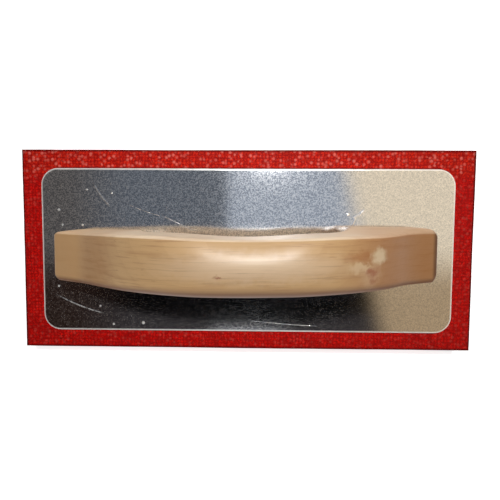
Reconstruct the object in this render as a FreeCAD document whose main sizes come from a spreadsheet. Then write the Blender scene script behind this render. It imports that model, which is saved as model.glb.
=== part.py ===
import FreeCAD, Part
import math
import os
import Sketcher
from FreeCAD import Vector

# Sponge-faced hand float: a thick slab of cellular rubber, a light-metal backing plate bonded
# to it, and a one-piece wooden D-handle screwed to the plate from below before the bonding.
# Millimetres. +X runs along the float towards the toe, +Y across it and +Z up to the grip.
# The origin is the middle of the working face, the side of the sponge that rubs the render.

# name, value, what it is
SIZES = [
    ("pad_length", 270.0, "sponge slab, heel to toe"),
    ("pad_width", 120.0, "sponge slab, across"),
    ("pad_thickness", 24.5, "sponge slab, working face to bonded face"),
    ("bevel_height", 4.0, "bevel round the working face, up the side"),
    ("bevel_run", 8.0, "bevel round the working face, in from the side"),
    ("film_thickness", 0.3, "cured contact adhesive"),
    ("film_margin", 0.6, "adhesive stops short of the plate's edge by this"),
    ("plate_length", 245.0, "backing plate, heel to toe"),
    ("plate_width", 97.5, "backing plate, across"),
    ("plate_thickness", 2.0, "backing plate"),
    ("plate_corner_radius", 10.0, "backing plate, corners in plan"),
    ("plate_edge_radius", 0.7, "backing plate, rolled-over upper edge"),
    ("handle_length", 208.0, "handle, end to end"),
    ("handle_width", 28.0, "handle, across"),
    ("heel_end_height", 19.8, "heel end face up to the start of the shoulder"),
    ("heel_neck_run", 18.1, "heel end in to the corner of shoulder and rise"),
    ("heel_neck_height", 28.6, "plate up to that corner"),
    ("heel_neck_radius", 62.0, "hollow that blends shoulder into rise"),
    ("heel_rise_run", 42.9, "neck corner in to the corner of rise and crest"),
    ("heel_crest_height", 59.4, "plate up to that corner"),
    ("heel_crest_radius", 77.0, "round from rise to crest"),
    ("toe_crest_height", 56.1, "plate up to the corner of crest and fall"),
    ("toe_crest_radius", 82.0, "round from crest to fall"),
    ("toe_rise_run", 34.0, "neck corner in to the corner of crest and fall"),
    ("toe_neck_run", 17.3, "toe end in to the corner of shoulder and fall"),
    ("toe_neck_height", 22.2, "plate up to that corner"),
    ("toe_neck_radius", 48.0, "hollow that blends fall into shoulder"),
    ("toe_end_height", 15.3, "toe end face up to the start of the shoulder"),
    ("heel_foot_length", 46.1, "heel foot on the plate"),
    ("toe_foot_length", 48.1, "toe foot on the plate"),
    ("heel_throat_lean", 12.7, "finger gap, how far its heel side leans in"),
    ("heel_throat_height", 30.5, "finger gap, height at its heel corner"),
    ("heel_throat_radius", 31.0, "finger gap, round of its heel corner"),
    ("belly_offset", 8.5, "lowest point of the grip's belly, towards the toe"),
    ("belly_height", 27.1, "finger gap, height at the grip's belly"),
    ("belly_radius", 175.0, "round of the grip's belly"),
    ("toe_throat_lean", 8.5, "finger gap, how far its toe side leans in"),
    ("toe_throat_height", 28.7, "finger gap, height at its toe corner"),
    ("toe_throat_radius", 33.0, "finger gap, round of its toe corner"),
    ("back_round", 4.0, "round-over along shoulders, rises and crest"),
    ("finger_round", 6.0, "round-over along the finger gap"),
    ("end_ease", 2.0, "eased edges of the end faces"),
    ("screw_diameter", 3.5, "wood screw, across its thread"),
    ("screw_length", 16.0, "wood screw, countersunk head to point"),
    ("screw_point", 4.0, "wood screw, length of its point"),
    ("slot_width", 1.0, "screwdriver slot, across"),
    ("slot_depth", 0.8, "screwdriver slot, deep"),
    ("screw_inset", 13.0, "outer screw, in from the end of the handle"),
    ("screw_spacing", 21.0, "outer screw to inner screw in one foot"),
    ("plate_hole_play", 0.4, "plate's screw hole over the screw's thread"),
    ("countersink_land", 0.5, "plate left above each countersink"),
    ("pilot_play", 0.1, "bored hole in the wood over the screw's thread"),
    ("pilot_run_on", 1.0, "bored hole beyond the screw's point"),
]

COUNTERSINK_ANGLE = 90.0
LONGEST_ROUNDS = 0.95  # the two rounds on one straight run take at most this share of it

doc = FreeCAD.newDocument("HandFloat")
sheet = doc.addObject("Spreadsheet::Sheet", "Sizes")
for row, (name, value, meaning) in enumerate(SIZES, 1):
    sheet.set(f"A{row}", meaning)
    sheet.set(f"B{row}", str(value))
    sheet.setAlias(f"B{row}", name)
doc.recompute()

# Heights of the seats, and the screws' places along the handle, as formulas on the sheet.
FILM_SEAT = "Sizes.pad_thickness"
PLATE_SEAT = "Sizes.pad_thickness + Sizes.film_thickness"
HANDLE_SEAT = "Sizes.pad_thickness + Sizes.film_thickness + Sizes.plate_thickness"
HALF_HANDLE = "Sizes.handle_length / 2"
SCREW_PLACES = [
    f"-{HALF_HANDLE} + Sizes.screw_inset",
    f"-{HALF_HANDLE} + Sizes.screw_inset + Sizes.screw_spacing",
    f"{HALF_HANDLE} - Sizes.screw_inset - Sizes.screw_spacing",
    f"{HALF_HANDLE} - Sizes.screw_inset",
]
PLATE_HOLE = "(Sizes.screw_diameter + Sizes.plate_hole_play)"
COUNTERSINK_DEPTH = "(Sizes.plate_thickness - Sizes.countersink_land)"
PILOT_HOLE = "(Sizes.screw_diameter + Sizes.pilot_play)"
HEAD_DIAMETER = f"({PLATE_HOLE} + 2 * {COUNTERSINK_DEPTH} * tan({COUNTERSINK_ANGLE / 2}))"


def new_body(label, seat=None):
    """A body with its own label, its origin plane standing at the seat's height."""
    body = doc.addObject("PartDesign::Body", label)
    body.Label = label
    if seat:
        body.setExpression(".Placement.Base.z", seat)
    return body


def new_sketch(body, name, plane_role):
    """A sketch lying on one of the body's own origin planes."""
    sketch = body.newObject("Sketcher::SketchObject", name)
    plane = next(item for item in body.Origin.OriginFeatures if item.Role == plane_role)
    sketch.AttachmentSupport = [(plane, "")]
    sketch.MapMode = "FlatFace"
    return sketch


def add_bound(sketch, kind, *place, formula):
    """A dimension of the sketch, driven by a formula on the sheet."""
    value = float(sketch.evalExpression(formula))
    index = sketch.addConstraint(Sketcher.Constraint(kind, *place, value))
    sketch.setExpression(f"Constraints[{index}]", formula)


def fix_point(sketch, geometry, vertex, x_formula, y_formula):
    """Holds a point at x, y from the sketch's origin; "0" puts it on the axis itself."""
    x_axis, y_axis = -1, -2
    if x_formula == "0":
        sketch.addConstraint(Sketcher.Constraint("PointOnObject", geometry, vertex, y_axis))
    else:
        add_bound(sketch, "DistanceX", -1, 1, geometry, vertex, formula=x_formula)
    if y_formula == "0":
        sketch.addConstraint(Sketcher.Constraint("PointOnObject", geometry, vertex, x_axis))
    else:
        add_bound(sketch, "DistanceY", -1, 1, geometry, vertex, formula=y_formula)


def round_shares(points, radii):
    """How much of each corner's radius fits: 1, or less where the rounds at the two ends of
    a run would meet. A sharp corner has no radius and needs no room."""
    count = len(points)
    reach = []
    for i, radius in enumerate(radii):
        back = points[i - 1] - points[i]
        ahead = points[(i + 1) % count] - points[i]
        reach.append(radius / math.tan(back.getAngle(ahead) / 2))
    shares = [1.0] * count
    for i in range(count):
        j = (i + 1) % count
        room = LONGEST_ROUNDS * points[i].distanceToPoint(points[j])
        if reach[i] + reach[j] > room:
            share = room / (reach[i] + reach[j])
            shares[i] = min(shares[i], share)
            shares[j] = min(shares[j], share)
    return shares


def draw_outline(sketch, corners):
    """A closed outline of straight runs. A corner is (x, y, radius), all formulas. With a
    radius it is rounded by an arc tangent to both runs, and the corner itself stays as a
    construction point where the two runs would meet."""
    count = len(corners)
    points = [
        Vector(float(sketch.evalExpression(x)), float(sketch.evalExpression(y)), 0)
        for x, y, _ in corners
    ]
    radii = [float(sketch.evalExpression(formula or "0")) for _, _, formula in corners]
    shares = round_shares(points, radii)
    arrive, leave, arcs = list(points), list(points), {}
    for i in (i for i in range(count) if radii[i]):
        radius = radii[i] * shares[i]
        back = (points[i - 1] - points[i]).normalize()
        ahead = (points[(i + 1) % count] - points[i]).normalize()
        half_angle = back.getAngle(ahead) / 2
        arrive[i] = points[i] + back * (radius / math.tan(half_angle))
        leave[i] = points[i] + ahead * (radius / math.tan(half_angle))
        centre = points[i] + (back + ahead).normalize() * (radius / math.sin(half_angle))
        turns_left = back.cross(ahead).z < 0
        start, end = (arrive[i], leave[i]) if turns_left else (leave[i], arrive[i])
        circle = Part.Circle(centre, Vector(0, 0, 1), radius)
        arcs[i] = (Part.ArcOfCircle(circle, circle.parameter(start), circle.parameter(end)),
                   turns_left)
    runs = [
        sketch.addGeometry(Part.LineSegment(leave[i], arrive[(i + 1) % count]))
        for i in range(count)
    ]
    for i, (x_formula, y_formula, radius_formula) in enumerate(corners):
        run_in, run_out = runs[i - 1], runs[i]
        if i not in arcs:
            sketch.addConstraint(Sketcher.Constraint("Coincident", run_in, 2, run_out, 1))
            fix_point(sketch, run_out, 1, x_formula, y_formula)
            continue
        shape, turns_left = arcs[i]
        arc = sketch.addGeometry(shape)
        first, last = (1, 2) if turns_left else (2, 1)
        sketch.addConstraint(Sketcher.Constraint("Tangent", run_in, 2, arc, first))
        sketch.addConstraint(Sketcher.Constraint("Tangent", arc, last, run_out, 1))
        corner = sketch.addGeometry(Part.Point(points[i]), True)
        sketch.addConstraint(Sketcher.Constraint("PointOnObject", corner, 1, run_in))
        sketch.addConstraint(Sketcher.Constraint("PointOnObject", corner, 1, run_out))
        fix_point(sketch, corner, 1, x_formula, y_formula)
        if shares[i] < 1:
            radius_formula = f"({radius_formula}) * {shares[i]}"
        add_bound(sketch, "Radius", arc, formula=radius_formula)


def draw_rectangle(sketch, length, width, radius=None):
    """A rectangle centred on the sketch's origin, its corners rounded when a radius is given."""
    draw_outline(sketch, [
        (f"-({length}) / 2", f"-({width}) / 2", radius),
        (f"({length}) / 2", f"-({width}) / 2", radius),
        (f"({length}) / 2", f"({width}) / 2", radius),
        (f"-({length}) / 2", f"({width}) / 2", radius),
    ])


def draw_screw_circles(sketch, diameter):
    """One circle on the centre line at each screw's place."""
    for place in SCREW_PLACES:
        centre = Vector(float(sketch.evalExpression(place)), 0, 0)
        radius = float(sketch.evalExpression(diameter)) / 2
        circle = sketch.addGeometry(Part.Circle(centre, Vector(0, 0, 1), radius))
        fix_point(sketch, circle, 3, place, "0")
        add_bound(sketch, "Diameter", circle, formula=diameter)


def pad_sketch(body, sketch, length, symmetric=False):
    """The sketch padded along its normal, or half to each side of its plane."""
    pad = body.newObject("PartDesign::Pad", f"{sketch.Name}_pad")
    pad.Profile = sketch
    pad.SideType = "Symmetric" if symmetric else "One side"
    pad.setExpression("Length", length)
    sketch.Visibility = False
    doc.recompute()
    return pad


def round_edges(body, base, chosen, radius, name):
    """A fillet on the edges of the base that the test chooses."""
    edges = [f"Edge{i}" for i, edge in enumerate(base.Shape.Edges, 1) if chosen(edge)]
    fillet = body.newObject("PartDesign::Fillet", name)
    fillet.Base = (base, edges)
    fillet.setExpression("Radius", radius)
    doc.recompute()
    return fillet


def size(name):
    """A value of the sheet, in millimetres."""
    return float(getattr(sheet, name))


def on_a_side(edge):
    """Whether an edge of the handle lies on one of its two flat sides."""
    return abs(edge.CenterOfMass.y) > size("handle_width") / 4


def in_finger_gap(edge):
    """Whether an edge of the handle runs along the finger gap, between side and opening."""
    box = edge.BoundBox
    half = size("handle_length") / 2
    below_grip = 1e-3 < box.ZMax < max(size("heel_throat_height"), size("toe_throat_height"))
    between_feet = box.XMin > size("heel_foot_length") - half - 1e-3 and (
        box.XMax < half - size("toe_foot_length") + 1e-3)
    return on_a_side(edge) and below_grip and between_feet


def on_back(edge):
    """Whether an edge runs along a shoulder, rise or the crest, between side and back."""
    box = edge.BoundBox
    upright = box.XLength < 1e-3
    on_plate = box.ZMax < 1e-3
    return on_a_side(edge) and not (upright or on_plate or in_finger_gap(edge))


def on_end_face(edge):
    """Whether an edge bounds an end face, other than along the plate."""
    box = edge.BoundBox
    at_an_end = abs(abs(box.Center.x) - size("handle_length") / 2) < 1e-3
    return at_an_end and box.XLength < 1e-3 and box.ZMax > 1e-3


def wood_screw(number, place):
    """A countersunk screw, point up, with a slot across its head."""
    body = new_body(f"handle_screw_{number}", PLATE_SEAT)
    body.setExpression(".Placement.Base.x", place)
    half = new_sketch(body, f"screw_{number}_half", "XZ_Plane")
    shank = "Sizes.screw_diameter / 2"
    head_height = f"({HEAD_DIAMETER} - Sizes.screw_diameter) / 2 / tan({COUNTERSINK_ANGLE / 2})"
    draw_outline(half, [
        ("0", "0", None),
        (f"{HEAD_DIAMETER} / 2", "0", None),
        (shank, head_height, None),
        (shank, "Sizes.screw_length - Sizes.screw_point", None),
        ("0", "Sizes.screw_length", None),
    ])
    turned = body.newObject("PartDesign::Revolution", f"screw_{number}_turned")
    turned.Profile = half
    turned.ReferenceAxis = (half, ["V_Axis"])
    turned.Angle = 360
    doc.recompute()
    slot_sketch = new_sketch(body, f"screw_{number}_slot", "XY_Plane")
    draw_rectangle(slot_sketch, f"2 * {HEAD_DIAMETER}", "Sizes.slot_width")
    slot = body.newObject("PartDesign::Pocket", f"screw_{number}_slot_cut")
    slot.Profile = slot_sketch
    slot.Reversed = True
    slot.setExpression("Length", "Sizes.slot_depth")
    doc.recompute()
    return body


# Sponge pad: a slab with a bevel all round its working face, which keeps the edge from
# digging into the render.
sponge_pad = new_body("sponge_pad")
slab_sketch = new_sketch(sponge_pad, "slab", "XY_Plane")
draw_rectangle(slab_sketch, "Sizes.pad_length", "Sizes.pad_width")
slab = pad_sketch(sponge_pad, slab_sketch, "Sizes.pad_thickness")
bevel = sponge_pad.newObject("PartDesign::Chamfer", "working_face_bevel")
bevel.Base = (slab, [
    f"Edge{i}" for i, edge in enumerate(slab.Shape.Edges, 1) if edge.BoundBox.ZMax < 1e-6
])
bevel.ChamferType = "Two distances"
bevel.setExpression("Size", "Sizes.bevel_height")
bevel.setExpression("Size2", "Sizes.bevel_run")
doc.recompute()

# Adhesive film: a thin coat over the plate's outline, a little short of its edge.
bond_film = new_body("bond_film", FILM_SEAT)
film_sketch = new_sketch(bond_film, "film", "XY_Plane")
draw_rectangle(
    film_sketch,
    "Sizes.plate_length - 2 * Sizes.film_margin",
    "Sizes.plate_width - 2 * Sizes.film_margin",
    "Sizes.plate_corner_radius - Sizes.film_margin",
)
pad_sketch(bond_film, film_sketch, "Sizes.film_thickness")

# Backing plate: sheet with rounded corners, its upper edge rolled over, and four
# countersunk holes that take the screw heads flush with the underside.
back_plate = new_body("back_plate", PLATE_SEAT)
plate_sketch = new_sketch(back_plate, "plate", "XY_Plane")
draw_rectangle(plate_sketch, "Sizes.plate_length", "Sizes.plate_width",
               "Sizes.plate_corner_radius")
blank = pad_sketch(back_plate, plate_sketch, "Sizes.plate_thickness")
top_edge = round_edges(
    back_plate, blank, lambda edge: edge.BoundBox.ZMin > size("plate_thickness") - 1e-6,
    "Sizes.plate_edge_radius", "rolled_edge")
hole_sketch = new_sketch(back_plate, "screw_holes", "XY_Plane")
draw_screw_circles(hole_sketch, PLATE_HOLE)
doc.recompute()
holes = back_plate.newObject("PartDesign::Hole", "countersunk_holes")
holes.Profile = hole_sketch
holes.Reversed = True
holes.DepthType = "ThroughAll"
holes.HoleCutType = "Countersink"
holes.HoleCutCountersinkAngle = COUNTERSINK_ANGLE
holes.setExpression("Diameter", PLATE_HOLE)
holes.setExpression("HoleCutDiameter", HEAD_DIAMETER)
doc.recompute()

# Handle: one piece of beech. Its side profile is an arch on two feet, with a straight
# shoulder at each end, a hollow neck, a long rounded rise and a crest that falls slightly
# towards the toe. The finger gap has a sloping side at each foot and a shallow belly.
handle = new_body("handle", HANDLE_SEAT)
profile = new_sketch(handle, "side_profile", "XZ_Plane")
heel_neck_x = f"-{HALF_HANDLE} + Sizes.heel_neck_run"
toe_neck_x = f"{HALF_HANDLE} - Sizes.toe_neck_run"
heel_foot_x = f"-{HALF_HANDLE} + Sizes.heel_foot_length"
toe_foot_x = f"{HALF_HANDLE} - Sizes.toe_foot_length"
draw_outline(profile, [
    (f"-{HALF_HANDLE}", "0", None),
    (heel_foot_x, "0", None),
    (f"{heel_foot_x} + Sizes.heel_throat_lean", "Sizes.heel_throat_height",
     "Sizes.heel_throat_radius"),
    ("Sizes.belly_offset", "Sizes.belly_height", "Sizes.belly_radius"),
    (f"{toe_foot_x} - Sizes.toe_throat_lean", "Sizes.toe_throat_height",
     "Sizes.toe_throat_radius"),
    (toe_foot_x, "0", None),
    (HALF_HANDLE, "0", None),
    (HALF_HANDLE, "Sizes.toe_end_height", None),
    (toe_neck_x, "Sizes.toe_neck_height", "Sizes.toe_neck_radius"),
    (f"{toe_neck_x} - Sizes.toe_rise_run", "Sizes.toe_crest_height",
     "Sizes.toe_crest_radius"),
    (f"{heel_neck_x} + Sizes.heel_rise_run", "Sizes.heel_crest_height",
     "Sizes.heel_crest_radius"),
    (heel_neck_x, "Sizes.heel_neck_height", "Sizes.heel_neck_radius"),
    (f"-{HALF_HANDLE}", "Sizes.heel_end_height", None),
])
arch = pad_sketch(handle, profile, "Sizes.handle_width", symmetric=True)

# Round-overs: one along the back, a larger one where the fingers curl round the grip, and
# the end faces' own edges just eased.
back_edges = round_edges(handle, arch, on_back, "Sizes.back_round", "back_edges")
finger_edges = round_edges(handle, back_edges, in_finger_gap, "Sizes.finger_round",
                           "finger_edges")
end_edges = round_edges(handle, finger_edges, on_end_face, "Sizes.end_ease", "end_edges")

# Pilot holes, bored up into the feet from below.
pilot_sketch = new_sketch(handle, "pilot_circles", "XY_Plane")
draw_screw_circles(pilot_sketch, PILOT_HOLE)
doc.recompute()
pilots = handle.newObject("PartDesign::Hole", "pilot_holes")
pilots.Profile = pilot_sketch
pilots.Reversed = True
pilots.DepthType = "Dimension"
pilots.DrillPoint = "Flat"
pilots.setExpression("Diameter", PILOT_HOLE)
pilots.setExpression("Depth", "Sizes.screw_length - Sizes.plate_thickness + Sizes.pilot_run_on")
doc.recompute()

# Wood screws: each sits in its countersink with its head flush with the plate's underside.
screws = [wood_screw(i, place) for i, place in enumerate(SCREW_PLACES, 1)]

for item in doc.Objects:
    faults = [state for state in item.State if state in ("Invalid", "Error")]
    if faults:
        raise RuntimeError(f"{item.Label} is {faults}")

os.makedirs("parts", exist_ok=True)
for body in [sponge_pad, bond_film, back_plate, handle, *screws]:
    if body.Shape.isNull() or not body.Shape.isValid() or len(body.Shape.Solids) != 1:
        raise RuntimeError(f"{body.Label} isn't one valid solid")
    body.Shape.exportStep(f"parts/{body.Label}.step")
    print(body.Label, round(body.Shape.Volume), body.Shape.BoundBox)
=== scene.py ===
import bpy
import bmesh
import numpy as np
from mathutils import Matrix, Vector


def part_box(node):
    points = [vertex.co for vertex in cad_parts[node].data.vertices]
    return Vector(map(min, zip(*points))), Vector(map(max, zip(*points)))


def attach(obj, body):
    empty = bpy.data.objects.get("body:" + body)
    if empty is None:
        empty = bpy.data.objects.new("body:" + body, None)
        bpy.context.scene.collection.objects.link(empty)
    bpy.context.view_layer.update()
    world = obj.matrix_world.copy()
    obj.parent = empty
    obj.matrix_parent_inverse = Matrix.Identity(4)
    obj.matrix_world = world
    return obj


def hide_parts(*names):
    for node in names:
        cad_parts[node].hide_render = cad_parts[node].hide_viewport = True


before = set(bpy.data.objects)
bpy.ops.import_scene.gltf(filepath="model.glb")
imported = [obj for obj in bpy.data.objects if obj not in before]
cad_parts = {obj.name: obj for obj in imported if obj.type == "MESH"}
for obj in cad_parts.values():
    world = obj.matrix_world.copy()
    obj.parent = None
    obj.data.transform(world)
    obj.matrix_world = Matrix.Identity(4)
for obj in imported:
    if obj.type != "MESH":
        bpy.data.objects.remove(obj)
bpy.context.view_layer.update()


# The working pad: a slab of red cellular rubber, knife-cut on its four sides.
# Its two faces keep a thin moulded skin with the print of the cloth that it was
# cured between, and the edge of the working face is bevelled all round.
MM = 0.001
PAD_STEP = 0.85 * MM
BEVEL_HEIGHT = 4 * MM
BEVEL_RUN = 8 * MM
# The rubber's lumps, how far apart and how high, on the cut sides and all over.
CUT_LUMPS = ((1.9 * MM, 0.16 * MM), (6.5 * MM, 0.12 * MM))
ALL_LUMPS = ((9 * MM, 0.05 * MM), (45 * MM, 0.18 * MM))
CUT_SEED, ALL_SEED = 1, 11
# Points nearer to each other than this are one point.
SAME_POINT = 0.01 * MM


def tint(red, green, blue):
    """A colour written as 0 to 255, turned into the light that it stands for."""
    part = np.array([red, green, blue]) / 255
    linear = np.where(part < 0.04045, part / 12.92, ((part + 0.055) / 1.055) ** 2.4)
    return (*[float(value) for value in linear], 1.0)


def ease(part):
    """3 t squared - 2 t cubed, for t kept from 0 to 1: a rise with level ends."""
    part = np.clip(part, 0, 1)
    return part * part * (3 - 2 * part)


def random_field(points, pitch, seed):
    """Smooth noise from -1 to 1: a random value at each corner of a lattice of
    cubes of that pitch, blended across each cube by 3 t squared - 2 t cubed. The
    random value is the fraction of a large multiple of the sine of a sum of the
    corner's three numbers, each times its own weight."""
    number_weights, multiple = np.array([12.9898, 78.233, 37.719]), 43758.5453
    spot = points / pitch
    corner = np.floor(spot)
    eased = ease(spot - corner)
    total = np.zeros(points.shape[:-1])
    for step in np.ndindex(2, 2, 2):
        mixed = np.sin((corner + step) @ number_weights + seed) * multiple
        weight = np.prod(np.where(np.array(step) == 1, eased, 1 - eased), axis=-1)
        total += weight * (2 * (mixed - np.floor(mixed)) - 1)
    return total


def sheet(corners, across, along):
    """A four-cornered sheet as a grid: the point at (s, t) is the blend of the
    four corners with the weights (1-s)(1-t), s(1-t), s t and (1-s) t."""
    s, t = np.meshgrid(np.linspace(0, 1, across + 1), np.linspace(0, 1, along + 1), indexing="ij")
    weights = np.stack([(1 - s) * (1 - t), s * (1 - t), s * t, (1 - s) * t], -1)
    points = weights @ np.array(corners)
    index = np.arange(s.size).reshape(s.shape)
    faces = np.stack([index[:-1, :-1], index[1:, :-1], index[1:, 1:], index[:-1, 1:]], -1)
    return points.reshape(-1, 3), faces.reshape(-1, 4)


def mesh_object(name, points, faces, materials, which=None, flat_faces=(), join=None):
    """A smooth piece at the origin from arrays of points and of corners of its
    faces. which gives each face's material, flat_faces are added last and stay
    flat, and points nearer than join merge."""
    mesh = bpy.data.meshes.new(name)
    mesh.from_pydata(points.tolist(), [], faces.tolist() + list(flat_faces))
    for material in materials:
        mesh.materials.append(material)
    if which is not None:
        mesh.polygons.foreach_set("material_index", which.astype(np.int32))
    mesh.polygons.foreach_set("use_smooth", np.arange(len(mesh.polygons)) < len(faces))
    if join:
        shell = bmesh.new()
        shell.from_mesh(mesh)
        bmesh.ops.remove_doubles(shell, verts=shell.verts, dist=join)
        shell.to_mesh(mesh)
        shell.free()
    mesh.update()
    piece = bpy.data.objects.new(name, mesh)
    bpy.context.scene.collection.objects.link(piece)
    return piece


def new_material(name):
    """An empty procedural material: itself, its node tree and its shader."""
    material = bpy.data.materials.new(name)
    material.use_nodes = True
    tree = material.node_tree
    return material, tree, tree.nodes["Principled BSDF"]


def set_socket(tree, socket, value):
    """Links the socket to another node's output, or sets it to a plain value."""
    if isinstance(value, bpy.types.NodeSocket):
        tree.links.new(value, socket)
    else:
        socket.default_value = value


def add(tree, kind, sockets=None, **settings):
    """A node of that kind, its settings made, its sockets set or linked."""
    node = tree.nodes.new("ShaderNode" + kind)
    for key, value in settings.items():
        setattr(node, key, value)
    for key, value in (sockets or {}).items():
        set_socket(tree, node.inputs[key], value)
    return node


def finish_shader(tree, shader, sockets):
    """Sets or links the shader's sockets."""
    for key, value in sockets.items():
        set_socket(tree, shader.inputs[key], value)


def place(tree, scale=(1, 1, 1)):
    """The object's own coordinates in metres, scaled."""
    own = add(tree, "TexCoord").outputs["Object"]
    return add(tree, "Mapping", {"Vector": own, "Scale": scale}).outputs["Vector"]


def one_axis(tree, where, axis):
    """One coordinate of a place, by its letter."""
    return add(tree, "SeparateXYZ", {"Vector": where}).outputs[axis]


def noise(tree, where, scale, detail=2.0, roughness=0.5, output="Fac"):
    """Fractal noise from 0 to 1 at that many lumps a metre, as one value or as
    a colour of three."""
    sockets = {"Vector": where, "Scale": scale, "Detail": detail, "Roughness": roughness}
    return add(tree, "TexNoise", sockets).outputs[output]


def spread(tree, value, low, high, to_low=0.0, to_high=1.0):
    """The value spread from its own range to another, clamped and eased."""
    sockets = {"Value": value, "From Min": low, "From Max": high,
               "To Min": to_low, "To Max": to_high}
    return add(tree, "MapRange", sockets, interpolation_type="SMOOTHSTEP").outputs["Result"]


def maths(tree, operation, first, *others):
    """One kind of sum on one value, or carried along several."""
    for other in others or (0.0,):
        first = add(tree, "Math", {0: first, 1: other}, operation=operation).outputs[0]
    return first


def added_up(tree, *parts):
    """The parts added up, each given as a value and its weight."""
    return maths(tree, "ADD", *[maths(tree, "MULTIPLY", *part) for part in parts])


def vectors(tree, operation, first, second=(0, 0, 0)):
    """One sum on two vectors, or for SCALE on a vector and a number. The result
    is a vector, and for DISTANCE and LENGTH a number."""
    socket = "Scale" if operation == "SCALE" else 1
    result = "Value" if operation in ("DISTANCE", "LENGTH") else "Vector"
    sockets = {0: first, socket: second}
    return add(tree, "VectorMath", sockets, operation=operation).outputs[result]


def moved_about(tree, where, colours, size):
    """A place moved by the colours, as three numbers, times a size."""
    return vectors(tree, "ADD", where, vectors(tree, "SCALE", colours, size))


def blend(tree, share, low, high):
    """Two colours mixed by that share of the second."""
    node = add(tree, "Mix", data_type="RGBA")
    sockets = {socket.identifier: socket for socket in (*node.inputs, *node.outputs)}
    for name, value in (("Factor_Float", share), ("A_Color", low), ("B_Color", high)):
        set_socket(tree, sockets[name], value)
    return sockets["Result_Color"]


def bump(tree, height, distance, under=None):
    """A normal from a height, raised by that distance in metres."""
    sockets = {"Height": height, "Distance": distance}
    if under is not None:
        sockets["Normal"] = under
    return add(tree, "Bump", sockets).outputs["Normal"]


def past_outline(tree, where, half_length, half_width, corner):
    """How far a point is from the corner centres of a rounded rectangle: the
    length of what is left of |x| and |y| past those centres. It equals the
    corner radius on the outline itself."""
    centre = (half_length - corner, half_width - corner, 1.0)
    past = vectors(tree, "SUBTRACT", vectors(tree, "ABSOLUTE", where), centre)
    return vectors(tree, "LENGTH", vectors(tree, "MAXIMUM", past, (0, 0, 0)))


pad_low, pad_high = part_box("sponge_pad")
plate_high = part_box("back_plate")[1]

# The moulded skin: the cloth's threads printed crosswise, with glossy spots painted pale as
# glints.
CLOTH_PITCH = 1.9 * MM
# How far apart a wave texture's bands are at a scale of one.
WAVE_PITCH = 0.314
# The glossy spots, painted pale pink as glints: how many to the metre, and
# where across the pad they grow towards the far side, under the lamp's glare,
# where the red is painted brighter too. The rest of the skin has this share of them.
SPOTS_TO_METRE = 440.0
GLARE_START, GLARE_FULL, LEAST_GLARE = 40 * MM, 50 * MM, 0.24
# Where the painted shade along the cut edge starts to fade, and where it ends.
EDGE_SHADE_DARK, EDGE_SHADE_END = 0.5 * MM, 1.5 * MM
# The same for the darker band round the plate, whose corners have this radius.
BY_PLATE_DARK, BY_PLATE_END = 0.3 * MM, 1.3 * MM
PLATE_CORNER = 10 * MM

skin_material, tree, shader = new_material("moulded_red_skin")
where = place(tree)
thread = {"Vector": where, "Scale": WAVE_PITCH / CLOTH_PITCH, "Distortion": 7.0, "Detail": 3.0,
          "Detail Scale": 3.0, "Detail Roughness": 0.75}
threads = [add(tree, "TexWave", thread, bands_direction=way).outputs["Fac"] for way in "XY"]
print_height = maths(tree, "MULTIPLY", *threads)
patches = noise(tree, where, 110, 4, 0.6)
grains = noise(tree, where, 520, 2, 0.6)
glare_side = spread(tree, one_axis(tree, where, "Y"), GLARE_START, GLARE_FULL, LEAST_GLARE, 1.0)
density = spread(tree, noise(tree, where, 60, 4, 0.7), 0.38, 0.6, 0.5, 1.0)
spots = add(tree, "TexVoronoi", {"Vector": where, "Scale": SPOTS_TO_METRE, "Randomness": 1.0})
picked = spread(tree, one_axis(tree, spots.outputs["Color"], "X"), 0.2, 0.62)
glossy_glint_spots = spread(tree, spots.outputs["Distance"], 0.15, 0.6, 1.0, 0.0)
glossy_glint_spots = maths(tree, "MULTIPLY", glossy_glint_spots, picked, density, glare_side)
ground_red = blend(tree, spread(tree, patches, 0.3, 0.7), tint(212, 8, 3), tint(242, 18, 6))
# Painted light: the red is brighter towards the far side, under the lamp's glare.
ground_red = blend(tree, spread(tree, glare_side, LEAST_GLARE, 1.0, 0.0, 0.6),
                   ground_red, tint(238, 52, 22))
red = blend(tree, spread(tree, print_height, 0.0, 0.25), tint(186, 6, 3), ground_red)
red = blend(tree, spread(tree, grains, 0.42, 0.56, 0.45, 0.0), red, tint(140, 5, 3))
# Painted glints: the glossy spots are painted pale pink.
red = blend(tree, maths(tree, "MULTIPLY", glossy_glint_spots, 0.8), red, tint(252, 120, 106))
# The skin ends in a dark line of painted shade, where its edge turns from the
# light: the inset is the least of half the length less |x| and half the width less |y|.
size_up = vectors(tree, "ABSOLUTE", where)
inset = maths(tree, "MINIMUM",
              maths(tree, "SUBTRACT", pad_high[0], one_axis(tree, size_up, "X")),
              maths(tree, "SUBTRACT", pad_high[1], one_axis(tree, size_up, "Y")))
edge_shade = spread(tree, inset, EDGE_SHADE_DARK, EDGE_SHADE_END, 0.85, 0.0)
red = blend(tree, edge_shade, red, tint(92, 8, 8))
# The skin is darker in a thin band along the plate's edge.
beside_plate = past_outline(tree, where, plate_high[0], plate_high[1], PLATE_CORNER)
darker_by_plate = spread(tree, beside_plate, PLATE_CORNER + BY_PLATE_DARK, PLATE_CORNER + BY_PLATE_END, 0.8, 0.0)
red = blend(tree, darker_by_plate, red, tint(80, 6, 6))
skin_height = added_up(tree, (print_height, 0.4), (grains, 0.8), (glossy_glint_spots, 0.5))
skin_normal = bump(tree, skin_height, 0.4 * MM)
finish_shader(tree, shader, {
    "Base Color": red,
    "Roughness": 0.6,
    "Specular IOR Level": 0.12,
    "Normal": skin_normal,
    "Coat Weight": maths(tree, "MULTIPLY", glossy_glint_spots, 0.35),
    "Coat Roughness": 0.3,
    "Coat IOR": 1.6,
    "Coat Normal": skin_normal,
})

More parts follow.
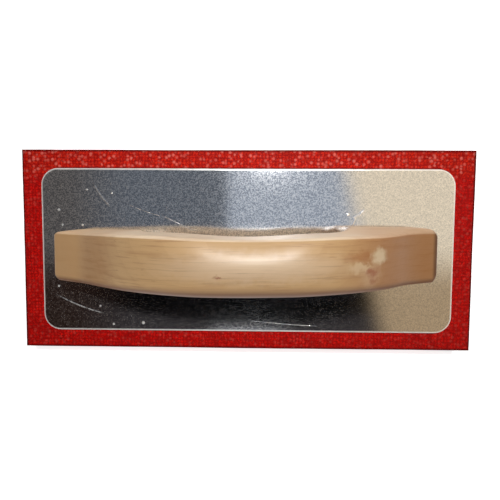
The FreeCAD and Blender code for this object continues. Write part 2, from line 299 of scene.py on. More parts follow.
# The knife-cut faces: open cells, their pits painted dark as shade and their
# walls flecked with pale painted glints, and here and there a cell of more than
# twice the size.
CELL_PITCH = 1.25 * MM
BIG_CELL_PITCH = CELL_PITCH / 0.42

cut_material, tree, shader = new_material("cut_red_cells")
where = place(tree)
wandered = moved_about(tree, where, noise(tree, where, 500, output="Color"), 0.8 * MM)
cells = add(tree, "TexVoronoi", {"Vector": wandered, "Scale": 1 / CELL_PITCH, "Randomness": 1.0},
            feature="SMOOTH_F1").outputs["Distance"]
big_cells = add(tree, "TexVoronoi", {"Vector": wandered, "Scale": 1 / BIG_CELL_PITCH,
                                     "Randomness": 1.0}).outputs["Distance"]
grains = noise(tree, where, 1500, 3, 0.65)
patches = noise(tree, where, 60, 4)
shaded_pits = spread(tree, cells, 0.15, 0.55)
ground_red = blend(tree, spread(tree, patches, 0.3, 0.7), tint(206, 30, 26), tint(234, 48, 42))
# Painted shade in the pits of the cells.
red = blend(tree, shaded_pits, tint(146, 12, 12), ground_red)
# Pale painted glints on the cell walls.
red = blend(tree, spread(tree, grains, 0.52, 0.7, 0.0, 0.55), red, tint(232, 96, 88))
cell_height = added_up(tree, (shaded_pits, 1.0), (grains, 0.8), (spread(tree, big_cells, 0.0, 0.3), 0.6))
finish_shader(tree, shader, {
    "Base Color": red,
    "Roughness": 0.82,
    "Specular IOR Level": 0.3,
    "Normal": bump(tree, cell_height, 0.35 * MM),
})

# The slab's corners at three heights: the working face, the top of its bevel
# and the back. Each face is a sheet with the skin or the cut cells.
SKIN, CUT = 0, 1
x0, y0, z0 = pad_low
x1, y1, z1 = pad_high
outer = np.array([(x0, y0), (x1, y0), (x1, y1), (x0, y1)])
inner = outer - BEVEL_RUN * np.sign(outer)
face_ring, bevel_ring, back_ring = [
    np.column_stack([ring, np.full(4, height)])
    for ring, height in ((inner, z0), (outer, z0 + BEVEL_HEIGHT), (outer, z1))]
columns = (round((x1 - x0) / PAD_STEP), round((y1 - y0) / PAD_STEP))
bevel_rows = round(np.hypot(BEVEL_RUN, BEVEL_HEIGHT) / PAD_STEP)
side_rows = round((z1 - z0 - BEVEL_HEIGHT) / PAD_STEP)
sheets = [sheet(face_ring[[0, 3, 2, 1]], columns[1], columns[0]),
          sheet(back_ring, columns[0], columns[1])]
kinds = [SKIN, SKIN]
for corner in range(4):
    after = (corner + 1) % 4
    for lower, upper, rows in ((face_ring, bevel_ring, bevel_rows),
                               (bevel_ring, back_ring, side_rows)):
        corners = [lower[corner], lower[after], upper[after], upper[corner]]
        sheets.append(sheet(corners, columns[corner % 2], rows))
        kinds.append(CUT)
sheet_points, sheet_faces = zip(*sheets)
points = np.concatenate(sheet_points)
starts = np.cumsum([0] + [len(part) for part in sheet_points[:-1]])
faces = np.concatenate([part + start for part, start in zip(sheet_faces, starts)])
which = np.repeat(kinds, [len(part) for part in sheet_faces])
on_cut = (points[:, 2] > z0 + SAME_POINT) & (points[:, 2] < z1 - SAME_POINT)
moves = np.zeros_like(points)
for lumps, seed, share in ((CUT_LUMPS, CUT_SEED, on_cut), (ALL_LUMPS, ALL_SEED, 1)):
    for pitch, size in lumps:
        for axis in range(3):
            moves[:, axis] += size * random_field(points, pitch, seed + axis) * share
pad = mesh_object("rubber_pad", points + moves, faces, [skin_material, cut_material], which,
                  join=SAME_POINT)
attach(pad, "root")
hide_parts("sponge_pad")


# The bond: contact adhesive rolled on thin, a hair's width narrower than the
# plate, dried to a glossy brown film that lies hidden under it.
def dress(node_name, material):
    """Gives a piece of the frame its material."""
    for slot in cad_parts[node_name].material_slots:
        slot.material = material


film_material, tree, shader = new_material("dried_adhesive")
streaks = noise(tree, place(tree, scale=(1, 6, 6)), 120, 4)
finish_shader(tree, shader, {
    "Base Color": blend(tree, streaks, tint(70, 44, 22), tint(128, 92, 50)),
    "Roughness": spread(tree, streaks, 0.3, 0.7, 0.25, 0.5),
    "Normal": bump(tree, streaks, 0.1 * MM),
})
dress("bond_film", film_material)


# The backing plate: mill-rolled light metal, its corners rounded and its edges
# broken. The face is a dull mirror with the speckle of the rolls, finely
# scratched, and with a few specks of plaster dust.

# Each scratch in millimetres and degrees: middle x and y, direction, length,
# bend radius and width, and then its strength.
SCRATCHES = (
    (-86.5, 32.5, -54, 15, 60, 0.95, 0.55),
    (-100, -34, -21, 27, 120, 0.55, 0.9),
    (62.5, 12, 5, 5, 40, 1.1, 1.0),
    (66.5, 22, 35, 8, 30, 1.2, 0.8),
    (64, 19, 70, 6, 30, 0.7, 0.5),
    (-62, 24, -20, 22, 150, 0.14, 0.6),
    (-40, 16, -25, 20, 150, 0.12, 0.6),
    (24, -44, -4, 34, 600, 0.12, 0.7),
)
# Each speck in millimetres: middle x and y, size across.
SPECKS = (
    (-112, 24, 1.5), (-110, 15, 1.3), (-98, 15, 1.3), (-95, 36, 1.0), (-80, 34, 1.0),
    (-88, -34, 1.1), (-80, -45, 1.3), (-62, -44, 1.8), (-113, -22, 1.2), (60, 22, 1.2),
)
# How soft the edge of a speck is, and the two ends of a scratch.
SPECK_SOFT, SCRATCH_SOFT = 0.6, 0.35
# How far in from the plate's edge the painted highlight on the rim starts, and is full.
RIM_HIGHLIGHT_START, RIM_HIGHLIGHT_FULL = 1.4 * MM, 0.7 * MM
# The speckle was polished nearly flat towards the toe: from where to where
# along the plate, and how strong it is before and after.
POLISH_START, POLISH_FULL = 45 * MM, 70 * MM
SPECKLE_AT_HEEL, SPECKLE_AT_TOE = 1.25, 0.35

plate_material, tree, shader = new_material("rolled_light_metal")
where = place(tree)
flat = vectors(tree, "MULTIPLY", where, (1, 1, 0))


def near(spot, radius, soft):
    """1 within that radius of the spot on the plate, fading to 0 past it."""
    distance = vectors(tree, "DISTANCE", flat, (spot[0] * MM, spot[1] * MM, 0))
    return spread(tree, distance, radius * MM * (1 - soft), radius * MM * (1 + soft), 1.0, 0.0)


def scratch(x, y, turn, length, bend, width, strength):
    """A scratch is where the distance to the centre of its bend is nearly the
    bend's radius, kept within half its length of its middle."""
    along = np.radians(turn)
    centre = ((x - bend * np.sin(along)) * MM, (y + bend * np.cos(along)) * MM, 0)
    distance = vectors(tree, "DISTANCE", flat, centre)
    off = maths(tree, "ABSOLUTE", maths(tree, "SUBTRACT", distance, bend * MM))
    line = spread(tree, off, 0.0, width * MM, strength, 0.0)
    return maths(tree, "MULTIPLY", line, near((x, y), length / 2, SCRATCH_SOFT))


worn_through = spread(tree, noise(tree, where, 420, 2), 0.35, 0.6, 0.35, 0.9)
marks = maths(tree, "MAXIMUM", *[scratch(*line) for line in SCRATCHES])
marks = maths(tree, "MULTIPLY", marks, worn_through)
specks = [near((x, y), across / 2, SPECK_SOFT) for x, y, across in SPECKS]
marks = maths(tree, "MAXIMUM", marks, *specks)
from_centre = past_outline(tree, where, plate_high[0], plate_high[1], PLATE_CORNER)
# Painted highlight: the rim is pale, rougher and less metallic, as light catching the broken
# edge.
rim_highlight = spread(tree, from_centre, PLATE_CORNER - RIM_HIGHLIGHT_START, PLATE_CORNER - RIM_HIGHLIGHT_FULL)
pale = maths(tree, "MAXIMUM", marks, rim_highlight)
speckle = added_up(tree, (noise(tree, where, 1150, 3, 0.75), 0.8),
                   (noise(tree, where, 480, 2), 0.2))
towards_toe = spread(tree, one_axis(tree, where, "X"), POLISH_START, POLISH_FULL,
                     SPECKLE_AT_HEEL, SPECKLE_AT_TOE)
speckle = maths(tree, "MULTIPLY", maths(tree, "SUBTRACT", speckle, 0.5), towards_toe)
speckle = maths(tree, "ADD", speckle, 0.5)
rolled = noise(tree, place(tree, scale=(0.25, 1, 1)), 260, 4, 0.6)
waves = noise(tree, place(tree, scale=(0.5, 1, 1)), 9, 1)
dust = spread(tree, noise(tree, where, 240, 5, 0.75), 0.66, 0.8, 0.0, 0.5)
metal = blend(tree, spread(tree, speckle, 0.40, 0.61), tint(186, 190, 196), tint(248, 248, 248))
metal = blend(tree, dust, metal, tint(244, 243, 238))
metal = blend(tree, pale, metal, tint(250, 248, 244))
less_metal = maths(tree, "MAXIMUM", maths(tree, "MULTIPLY", marks, 0.5),
                   maths(tree, "MULTIPLY", rim_highlight, 0.28))
ground = spread(tree, speckle, 0.25, 0.75, 0.06, 0.11)
sheet_normal = bump(tree, rolled, 0.007 * MM, under=bump(tree, waves, 0.9 * MM))
finish_shader(tree, shader, {
    "Base Color": metal,
    "Metallic": maths(tree, "SUBTRACT", spread(tree, speckle, 0.48, 0.66, 1.0, 0.92), less_metal),
    "Roughness": added_up(tree, (ground, 1.0), (rolled, 0.04), (pale, 0.3)),
    "Normal": bump(tree, marks, 0.1 * MM, under=sheet_normal),
})
dress("back_plate", plate_material)


# The handle: one piece of beech, band-sawn to the D, spindle-moulded round the
# finger gap and sanded by hand, so the back is crowned and the middle of the
# grip swells a little. Two coats of satin varnish.

# The handle's sizes are in millimetres, with x along the tool from its middle.
# The outline's corners: x and height above the plate, and the radius there.
BACK_LINE = ((-104, 0, 0), (-104, 19.8, 2.2), (-85.9, 28.6, 26), (-43, 59.4, 77),
             (52.7, 56.1, 82), (86.7, 22.2, 48), (104.8, 15.1, 2.2), (104.8, 0, 0))
FINGER_LINE = ((-57.9, 0, 0), (-45.2, 30.5, 31), (8.5, 27.1, 175), (47.4, 28.7, 33), (55.9, 0, 0))
# Lengths run along the back line, and along the finger line, that are level
# with each other: foot, end corner, neck, crest, and the same down the toe.
LEVEL = ((0, 0), (0.078, 0.075), (0.155, 0.135), (0.25, 0.235), (0.36, 0.345), (0.5, 0.505),
         (0.64, 0.655), (0.755, 0.765), (0.85, 0.865), (0.935, 0.935), (1, 1))
GRIP_WIDTH, FOOT_WIDTH = 27.2, 27.6
# The grip's form is full at one x and gone at that distance from it, and the
# toe's form sets in past its own x over its own run.
GRIP_MIDDLE, GRIP_RUN = 3, 88
TOE_START, TOE_RUN = 60, 35
# The sides wander by this much, in a wave of this half length that fades past
# the grip.
SIDE_WANDER, WANDER_HALF_WAVE, WANDER_FADE = 0.75, 62, 65
RIDGE_SHIFT = -3.5
# The round-over on the finger side swings through this angle. Its width and
# depth, and what the two corners of the gap add to them. A corner is that far
# each side of its middle and that long, and comes in above its own height.
FINGER_SWING = 58
FINGER_ACROSS, FINGER_DEEP = (7.5, 0.5), (5.8, 2.6)
CORNER_MIDDLE, CORNER_REACH, CORNER_RUN = -1, 44, 9
CORNER_HEIGHT, CORNER_RISE = 6, 12
# Each end's upright corners are an elliptic round: its start, run and depth.
END_ROUND_START, END_ROUND_RUN, END_ROUND_ACROSS = 101.2, 2.8, 1.8
# How many points a section has along the flat, the finger side's round-over,
# the side, the back's edge and its crown, and how many sections there are.
FLAT_POINTS, ROUND_POINTS, WALL_POINTS, EDGE_POINTS, CROWN_POINTS = 5, 13, 16, 15, 11
ROWS_ALONG = 460
# The two sides, far and near. The first three rows give a length at the feet,
# what the grip adds and what the toe adds: how far the side stands out past
# the plain width, and the width and depth of the back's edge. The tones say
# how strongly a part is painted dark as shade where it turns from the light,
# or with a minus how strongly it is painted pale as the varnish's sheen. The
# edge's tone fades up the back by (steepness t)^power, for t from 1 to 0.
FAR_SIDE = {
    "stands_out": (-1.4, -0.4, 2.5),
    "edge_across": (1.8, -0.7, 1.8),
    "edge_deep": (6.0, -4.0, 3.0),
    "edge_power": 2.0,
    "crown_radius": 25.0,
    "flat_tone": 0.0, "round_tone": -0.5, "wall_tone": -0.65,
    "edge_tone": -0.65, "edge_steepness": 6.0, "edge_fade_power": 1.0,
}
NEAR_SIDE = {
    "stands_out": (0.4, 0.0, 0.7),
    "edge_across": (3.4, 3.2, 0.0),
    "edge_deep": (2.6, 2.0, 0.0),
    "edge_power": 1.9,
    "crown_radius": 36.0,
    "flat_tone": 1.0, "round_tone": 0.4, "wall_tone": -1.0,
    "edge_tone": 1.0, "edge_steepness": 2.2, "edge_fade_power": 1.5,
}


def rounded_line(corners, count, steps=40):
    """Points at those shares of the length of a broken line whose corners are
    arcs: an arc of radius r starts r tan(turn / 2) before its corner and ends as
    far past it."""
    spots = np.array([corner[:2] for corner in corners], dtype=float)
    radii = [corner[2] for corner in corners[1:]]
    runs = [spots[:1]]
    for before, spot, after, radius in zip(spots, spots[1:], spots[2:], radii):
        back = (before - spot) / np.linalg.norm(before - spot)
        on = (after - spot) / np.linalg.norm(after - spot)
        half = (np.pi - np.arccos(np.clip(back @ on, -1, 1))) / 2
        middle = spot + (back + on) / np.linalg.norm(back + on) * radius / np.cos(half)
        turn = np.linspace(-half, half, steps)[:, None]
        towards = (spot - middle) / np.linalg.norm(spot - middle)
        side = (on - back) / np.linalg.norm(on - back)
        runs.append(middle + radius * (np.cos(turn) * towards + np.sin(turn) * side))
    line = np.concatenate(runs + [spots[-1:]])
    run = np.concatenate([[0], np.cumsum(np.linalg.norm(np.diff(line, axis=0), axis=1))])
    wanted = count * run[-1]
    return np.column_stack([np.interp(wanted, run, line[:, axis]) for axis in (0, 1)])


def grip_surface():
    """The handle as a grid of points, and the tone of each point. Each row is a
    closed section on the line from a point of the finger line to the level point
    of the back line. On the finger side, a round-over is at sin(a) / sin(swing)
    across and (1 - cos(a)) / (1 - cos(swing)) deep, for a from 0 to the swing,
    where it meets the side face in a crease. The back drops from its ridge by
    (y - ridge)^2 / (2 radius), and at each edge by a superellipse more,
    |a|^n + |b|^n = 1. An end's corner draws in by 1 - sqrt(1 - t^2)."""
    share = np.linspace(0, 1, ROWS_ALONG)
    finger = rounded_line(FINGER_LINE, np.interp(share, *np.transpose(LEVEL)))
    back = rounded_line(BACK_LINE, share)
    reach = np.linalg.norm(back - finger, axis=1)[:, None]
    back_x = back[:, :1]
    grip = ease(1 - np.abs(back_x - GRIP_MIDDLE) / GRIP_RUN)
    toe = ease((back_x - TOE_START) / TOE_RUN)
    plain_half = (FOOT_WIDTH + (GRIP_WIDTH - FOOT_WIDTH) * grip) / 2
    wander = -SIDE_WANDER * np.cos(np.pi * back_x / WANDER_HALF_WAVE)
    wander = wander * np.clip(1.6 - np.abs(back_x) / WANDER_FADE, 0, 1)

    # The moulding cutter cuts deepest round the two corners of the finger gap.
    from_corner = (np.abs(finger[:, :1] - CORNER_MIDDLE) - CORNER_REACH) / CORNER_RUN
    corners = np.exp(-from_corner ** 2)
    corners = corners * np.clip((finger[:, 1:] - CORNER_HEIGHT) / CORNER_RISE, 0, 1)
    round_across = FINGER_ACROSS[0] + FINGER_ACROSS[1] * corners
    round_deep = FINGER_DEEP[0] + FINGER_DEEP[1] * corners
    flat = np.linspace(0, 1, FLAT_POINTS + 1)[None, :-1]
    swing = np.linspace(0, np.radians(FINGER_SWING), ROUND_POINTS)[None, :]
    swing_across = np.sin(swing) / np.sin(swing[:, -1:])
    swing_deep = (1 - np.cos(swing)) / (1 - np.cos(swing[:, -1:]))
    low_depth = np.concatenate([0 * reach * flat, round_deep * swing_deep], axis=1)
    wall_part = np.linspace(0, 1, WALL_POINTS + 2)[None, 1:-1]
    turn = np.linspace(0, np.pi / 2, EDGE_POINTS)[None, :]
    to_ridge = np.linspace(1, 0, CROWN_POINTS + 1)[None, 1:]

    def half_section(way, side):
        """One side of the section: how far across each point is, how deep it is
        from the finger line, and its tone."""
        stands_out, edge_across, edge_deep = [
            side[name][0] + side[name][1] * grip + side[name][2] * toe
            for name in ("stands_out", "edge_across", "edge_deep")]
        half = plain_half + stands_out
        inside = half - round_across
        low_across = np.concatenate([inside * flat, inside + round_across * swing_across], axis=1)

        ridge = way * RIDGE_SHIFT * grip
        power = 2 / side["edge_power"]
        edge = half - edge_across + edge_across * np.cos(turn) ** power
        crown = (half - edge_across) * to_ridge + ridge * (1 - to_ridge)
        back_across = np.concatenate([edge, crown], axis=1)
        edge_drop = np.concatenate([edge_deep * (1 - np.sin(turn) ** power), 0 * crown], axis=1)
        crown_drop = grip * (back_across - ridge) ** 2 / (2 * side["crown_radius"])
        back_depth = reach - edge_drop - crown_drop

        wall_across, wall_depth = [
            low[:, -1:] + (high[:, :1] - low[:, -1:]) * wall_part
            for low, high in ((low_across, back_across), (low_depth, back_depth))]
        up_edge = np.clip(side["edge_steepness"] * np.linspace(1, 0, EDGE_POINTS), 0, 1)
        tone = np.concatenate([
            np.full(FLAT_POINTS, side["flat_tone"]), np.full(ROUND_POINTS, side["round_tone"]),
            np.full(WALL_POINTS, side["wall_tone"]),
            side["edge_tone"] * up_edge ** side["edge_fade_power"], np.zeros(CROWN_POINTS)])
        return (way * np.concatenate([low_across, wall_across, back_across], axis=1),
                np.concatenate([low_depth, wall_depth, back_depth], axis=1), tone)

    # Up the far side, and down the near side without its two shared points.
    across, depth, tone = [
        np.concatenate([far, near[..., -2:0:-1]], axis=-1)
        for far, near in zip(half_section(1, FAR_SIDE), half_section(-1, NEAR_SIDE))]
    line = finger[:, None, :] + (back - finger)[:, None, :] * (depth / reach)[:, :, None]
    into_end = np.clip((np.abs(line[:, :, 0]) - END_ROUND_START) / END_ROUND_RUN, 0, 1)
    end_round = END_ROUND_ACROSS / (FOOT_WIDTH / 2) * (1 - np.sqrt(1 - into_end ** 2))
    across = (across + wander) * (1 - end_round)
    grid = np.stack([line[:, :, 0], across, line[:, :, 1]], axis=-1) * MM
    return grid, np.broadcast_to(tone, across.shape)


# The log the board was sawn from: its heart lies off the board and a little
# askew, so the rings run nearly along the handle.
HEART_OFFSET, HEART_TILT = (0, 0.055, 0.075), (0, 0.03, 0.02)

beech_material, tree, shader = new_material("varnished_beech_wood")
where = place(tree)
bent = noise(tree, place(tree, scale=(0.35, 1, 1)), 22, output="Color")
bent = moved_about(tree, where, bent, 10 * MM)
log = add(tree, "Mapping", {"Vector": bent, "Location": HEART_OFFSET, "Rotation": HEART_TILT})
rings = add(tree, "TexWave", {"Vector": log.outputs["Vector"], "Scale": 92.0, "Distortion": 1.2,
                              "Detail": 2.0, "Detail Scale": 1.0},
            wave_type="RINGS", rings_direction="X", wave_profile="SAW").outputs["Fac"]
fibres = noise(tree, place(tree, scale=(0.03, 1, 0.12)), 1300, 4, 0.6)
long_fibres = noise(tree, place(tree, scale=(0.05, 1, 0.14)), 380, 3, 0.6)
flecks = noise(tree, place(tree, scale=(0.16, 1, 0.6)), 900, 1)
patches = noise(tree, place(tree, scale=(0.4, 1, 1)), 16, 3)
lengthwise = one_axis(tree, where, "X")
shade_and_sheen_tone = add(tree, "Attribute", attribute_name="rounded").outputs["Fac"]
wood = blend(tree, spread(tree, patches, 0.3, 0.72), tint(207, 170, 124), tint(192, 152, 104))
# The planed sides are painted paler as the varnish's sheen, least so near the toe.
painted_side_sheen = maths(tree, "MULTIPLY", spread(tree, shade_and_sheen_tone, 0.0, -1.0, 0.0, 0.85),
                    spread(tree, lengthwise, 0.035, 0.085, 1.0, 0.3))
wood = blend(tree, painted_side_sheen, wood, tint(242, 228, 204))
# What the grain and the tones along the handle add, in this order: where each
# one starts and is full, how strongly it colours, and its colour. Of the tones,
# the first paints shade on the heel's neck and the second paints light on the
# heel's flat end; then the toe is darker and redder, with a dark line round its end.
LAYERS = (
    (rings, 0.45, 1.0, 0.08, tint(156, 108, 66)),
    (long_fibres, 0.5, 0.70, 0.32, tint(152, 102, 62)),
    (fibres, 0.52, 0.70, 0.34, tint(136, 90, 54)),
    (flecks, 0.70, 0.80, 0.25, tint(138, 88, 52)),
    # Painted shade on the heel's neck, then painted light on the heel's flat end.
    (lengthwise, -0.056, -0.072, 0.5, tint(172, 122, 72)),
    (lengthwise, -0.077, -0.090, 0.7, tint(214, 170, 120)),
    (lengthwise, 0.034, 0.070, 0.68, tint(164, 104, 56)),
    (lengthwise, 0.1006, 0.1034, 0.8, tint(84, 50, 26)),
)
for layer, start, full, strength, colour in LAYERS:
    wood = blend(tree, spread(tree, layer, start, full, 0.0, strength), wood, colour)
# The near half of the finger side, its round-over and the near edge of the back
# are painted dark as shade where they turn from the light. The planed sides and
# the far round-overs are painted pale as the varnish's sheen, with a fine grain along them.
wood = blend(tree, maths(tree, "MULTIPLY", shade_and_sheen_tone, 0.92), wood, tint(118, 76, 44))
sheen_sides = spread(tree, shade_and_sheen_tone, -0.3, -1.0)
wood = blend(tree, maths(tree, "MULTIPLY", sheen_sides, 0.75), wood, tint(240, 213, 180))
side_grain = noise(tree, place(tree, scale=(0.06, 1, 1)), 620, 4, 0.65)
side_grain = maths(tree, "MULTIPLY", spread(tree, side_grain, 0.48, 0.66, 0.0, 0.34), sheen_sides)
wood = blend(tree, side_grain, wood, tint(166, 120, 80))
# Each patch of odd colour, most of them round the knot: its middle and half
# sizes in millimetres, colour and strength. It is full to the first share of
# its size and gone at the second, with a ragged edge.
PATCHES = (
    # Painted sheen: a pale bloom over the middle of the crest, round the lamp's highlight.
    ((4, -0.5, 85), (40, 6.5, 40), tint(232, 214, 192), 0.34),
    ((52, 3.4, 78), (8, 2.6, 30), tint(158, 92, 40), 0.45),
    ((61.5, 3.0, 74), (4.4, 3.6, 30), tint(222, 198, 162), 0.9),
    ((51.5, -1.6, 78), (6.4, 1.9, 30), tint(216, 188, 150), 0.75),
    ((56.5, -5.2, 76), (5.6, 4.6, 30), tint(206, 172, 136), 0.6),
    ((57.0, -3.8, 76), (3.4, 2.2, 30), tint(158, 88, 56), 0.75),
    ((58.5, -7.6, 76), (2.6, 1.2, 30), tint(160, 96, 60), 0.6),
    ((-12, -4.5, 85), (1.3, 0.8, 9), tint(140, 70, 44), 0.7),
)
PATCH_FULL, PATCH_GONE = 0.3, 1.5
ragged = noise(tree, where, 260, 3, 0.6, output="Color")
ragged = moved_about(tree, where, vectors(tree, "SUBTRACT", ragged, (0.5, 0.5, 0.5)), 7 * MM)
for middle, half_size, colour, strength in PATCHES:
    offset = vectors(tree, "SUBTRACT", ragged, tuple(value * MM for value in middle))
    offset = vectors(tree, "DIVIDE", offset, tuple(value * MM for value in half_size))
    inside = spread(tree, vectors(tree, "LENGTH", offset), PATCH_FULL, PATCH_GONE, strength, 0.0)
    wood = blend(tree, inside, wood, colour)
finish_shader(tree, shader, {
    "Base Color": wood,
    "Roughness": spread(tree, long_fibres, 0.3, 0.7, 0.46, 0.58),
    "Specular IOR Level": 0.2,
    "Coat Weight": spread(tree, maths(tree, "ABSOLUTE", lengthwise), 0.035, 0.075, 0.52, 0.10),
    "Coat Roughness": 0.33,
    "Normal": bump(tree, added_up(tree, (fibres, 1.0), (long_fibres, 1.5)), 0.05 * MM),
})

# The sections joined into a tube, and closed by the flat soles of its feet.
grid, tone = grip_surface()
rows, ring_size = grid.shape[:2]
grid[:, :, 2] += plate_high[2]
index = np.arange(rows * ring_size).reshape(rows, ring_size)
after = np.roll(index, -1, axis=1)
faces = np.stack([index[:-1], index[1:], after[1:], after[:-1]], -1).reshape(-1, 4)
feet = [index[0].tolist(), index[-1, ::-1].tolist()]
handle = mesh_object("beech_handle", grid.reshape(-1, 3), faces, [beech_material],
                     flat_faces=feet)
# The tones go on as the attribute rounded: painted shade where plus, painted sheen where minus.
rounded = handle.data.attributes.new("rounded", "FLOAT", "POINT")
rounded.data.foreach_set("value", tone.astype(np.float32).ravel())
handle.data.update()
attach(handle, "root")
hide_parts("handle")


# The screws: four plated steel countersunk wood screws, driven up through the
# plate into the feet of the handle before the pad is glued over their heads.
screw_material, tree, shader = new_material("plated_screw_steel")
turning = noise(tree, place(tree, scale=(1, 1, 9)), 600, 3)
finish_shader(tree, shader, {
    "Base Color": blend(tree, turning, tint(168, 166, 158), tint(206, 204, 196)),
    "Metallic": 1.0,
    "Roughness": spread(tree, turning, 0.3, 0.7, 0.24, 0.42),
    "Normal": bump(tree, turning, 0.02 * MM),
})
for number in range(1, 5):
    dress(f"handle_screw_{number}", screw_material)


# The studio: a white floor, one small lamp over the tool on its far side, four
# low strips of soft light round it, and a glowing card overhead, no lamp, that
# only the metal mirrors: painted reflections, dark towards the heel, pale in the
# middle and cream towards the toe.
WHITE = (1.0, 1.0, 1.0)
FLOOR_HALF = 4.0
# The floor lies this far under the working face, clear of the pad's lumps.
FLOOR_DROP = 0.3 * MM
CARD_HALF_LENGTH, CARD_HALF_WIDTH, CARD_HEIGHT = 1.2, 0.9, 0.65


def plain_sheet(name, half_length, half_width, height, material):
    """A level rectangle at that height over the tool's middle."""
    corners = [(way * half_length, side * half_width, height)
               for way, side in ((-1, -1), (1, -1), (1, 1), (-1, 1))]
    points, faces = sheet(corners, 1, 1)
    return mesh_object(name, points, faces, [material])


def background(tree):
    """1 for what the camera, a mirror or a clear part shows of a thing, and 0
    for the light that it throws."""
    rays = add(tree, "LightPath").outputs
    return maths(tree, "MAXIMUM", rays["Is Camera Ray"], rays["Is Glossy Ray"],
                 rays["Is Transmission Ray"])


floor_material, tree, shader = new_material("studio_floor")
away = vectors(tree, "LENGTH", place(tree))
glow = maths(tree, "MULTIPLY", background(tree), spread(tree, away, 0.4, 1.2, 0.82, 1.0))
finish_shader(tree, shader, {
    "Base Color": tint(244, 244, 244),
    "Roughness": 0.9,
    "Emission Color": (*WHITE, 1.0),
    "Emission Strength": glow,
})
floor = plain_sheet("studio_floor", FLOOR_HALF, FLOOR_HALF, -FLOOR_DROP, floor_material)

# The card's painted edges in metres from over the tool's middle, each as where a tone
# starts and where it is full: along the tool, or across it towards the far side.
FAR_ZONE, BLACK_BAND_EDGE, BRIGHT_SPOT_EDGE = (-0.16, -0.04), (-0.254, -0.262), (-0.266, -0.288)
PALE_START, HEEL_END, TOE_END = (-0.062, -0.040), (-0.27, -0.46), (0.235, 0.30)
BRIGHT_SPOT_HALF_LENGTH = (0.12, 0.05)
# The edge of the painted black band, which the plate shows round the shadow under
# the handle, bends by this much times the distance along squared, and
# the toe's end slants by this share of the distance across.
BLACK_BAND_BEND, TOE_SLANT = 0.4, 0.25

reflection_card_material, tree, shader = new_material("reflection_card_overhead")
along = one_axis(tree, place(tree), "X")
across = one_axis(tree, place(tree), "Y")
far_zone = spread(tree, across, *FAR_ZONE)
bend = maths(tree, "MULTIPLY", along, along, BLACK_BAND_BEND)
past_black_band = spread(tree, maths(tree, "SUBTRACT", across, bend), *BLACK_BAND_EDGE)
# Painted shade: the card is black where the plate mirrors it in the shadow under the handle, and
# dull grey past that band's bent edge.
near_tone = blend(tree, past_black_band, tint(0, 0, 0), tint(58, 54, 55))
middle_tone = blend(tree, far_zone, near_tone, tint(105, 110, 118))
heel_tone = blend(tree, far_zone, tint(44, 30, 24), tint(92, 88, 86))
toe_tone = blend(tree, far_zone, tint(184, 158, 124), tint(248, 230, 202))
pale_part = maths(tree, "MULTIPLY", spread(tree, along, *PALE_START), far_zone)
# A painted reflection: a bright spot that the plate shows just past its shadow band.
low_bright_spot = maths(tree, "MULTIPLY", spread(tree, across, *BRIGHT_SPOT_EDGE),
                 spread(tree, maths(tree, "ABSOLUTE", along), *BRIGHT_SPOT_HALF_LENGTH))
slanted = added_up(tree, (along, 1.0), (across, TOE_SLANT))
tone = blend(tree, spread(tree, along, *HEEL_END), middle_tone, heel_tone)
tone = blend(tree, pale_part, tone, tint(178, 185, 196))
tone = blend(tree, low_bright_spot, tone, tint(252, 253, 255))
tone = blend(tree, spread(tree, slanted, *TOE_END), tone, toe_tone)
finish_shader(tree, shader, {
    "Base Color": tint(0, 0, 0),
    "Roughness": 1.0,
    "Specular IOR Level": 0.0,
    "Emission Color": tone,
    "Emission Strength": 1.0,
})
reflection_card = plain_sheet("reflection_card_overhead", CARD_HALF_LENGTH, CARD_HALF_WIDTH, CARD_HEIGHT, reflection_card_material)
reflection_card.visible_camera = False
reflection_card.visible_diffuse = False
reflection_card.visible_shadow = False
reflection_card.visible_transmission = False


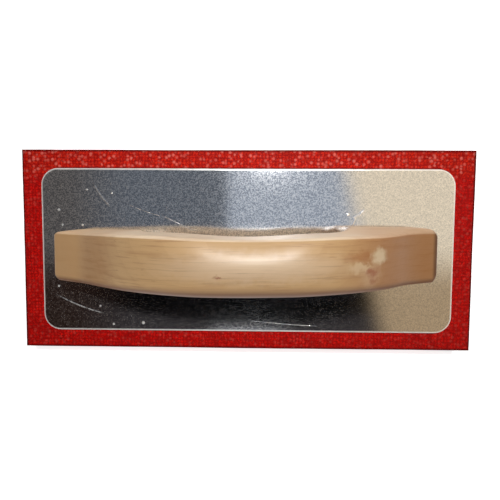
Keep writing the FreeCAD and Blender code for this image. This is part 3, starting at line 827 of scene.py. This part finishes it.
def soft_lamp(name, spot, aim, width, height, power, colour, mirrored=False):
    """A lamp of that width and height at a spot, turned to face its aim."""
    lamp = bpy.data.lights.new(name, "AREA")
    lamp.shape = "ELLIPSE" if width == height else "RECTANGLE"
    lamp.size, lamp.size_y = width, height
    lamp.energy = power
    lamp.color = colour
    holder = bpy.data.objects.new(name, lamp)
    holder.location = spot
    facing = Vector(aim) - Vector(spot)
    holder.rotation_euler = facing.to_track_quat("-Z", "Y").to_euler()
    holder.visible_camera = False
    holder.visible_glossy = mirrored
    bpy.context.scene.collection.objects.link(holder)


pad_top = pad_high[2]
# The small lamp: where it hangs over the pad, how wide it is, and its power.
KEY_SPOT, KEY_WIDTH, KEY_POWER = (0.040, 0.155, pad_top + 0.400), 0.028, 1.18
KEY_COLOUR = (1.0, 0.98, 0.95)
soft_lamp("key_lamp", KEY_SPOT, (0, 0, pad_top), KEY_WIDTH, KEY_WIDTH, KEY_POWER, KEY_COLOUR,
          mirrored=True)
# The strips: where each one stands, what it faces, its length, height and power.
STRIPS = (
    ("back_strip", (0.20, 1.0, 0.12), (0, 0, 0.05), 1.1, 0.20, 3.0),
    ("front_strip", (-0.25, -1.0, 0.10), (0, 0, 0.06), 1.1, 0.16, 4.0),
    ("heel_strip", (-1.1, -0.1, 0.12), (0, 0, 0.05), 0.8, 0.20, 0.4),
    ("toe_strip", (1.1, 0.1, 0.12), (0, 0, 0.05), 0.8, 0.20, 0.4),
)
for strip in STRIPS:
    soft_lamp(*strip, WHITE)

# The air: almost no light of its own, and white where it is seen or mirrored.
AIR_LIGHT, AIR_SEEN = 0.02, 1.0
world = bpy.data.worlds.new("studio_air")
world.use_nodes = True
bpy.context.scene.world = world
tree = world.node_tree
finish_shader(tree, tree.nodes["Background"], {
    "Color": (*WHITE, 1.0),
    "Strength": spread(tree, background(tree), 0.0, 1.0, AIR_LIGHT, AIR_SEEN),
})

# The camera stands over the tool a little to its far side and looks down.
CAMERA_SPOT = (0.0014, 0.0232, pad_top + 0.200)
CAMERA_TURN = (-0.0494, 0.0158, 0.0052)
camera_data = bpy.data.cameras.new("camera")
camera_data.lens = 24.0
camera_data.sensor_width = 36.0
camera_data.clip_start = 0.01
camera_data.shift_x = 0.013
camera_data.shift_y = -0.043
camera = bpy.data.objects.new("camera", camera_data)
camera.location = CAMERA_SPOT
camera.rotation_euler = CAMERA_TURN
bpy.context.scene.collection.objects.link(camera)
bpy.context.scene.camera = camera
bpy.context.scene.view_settings.view_transform = "Standard"
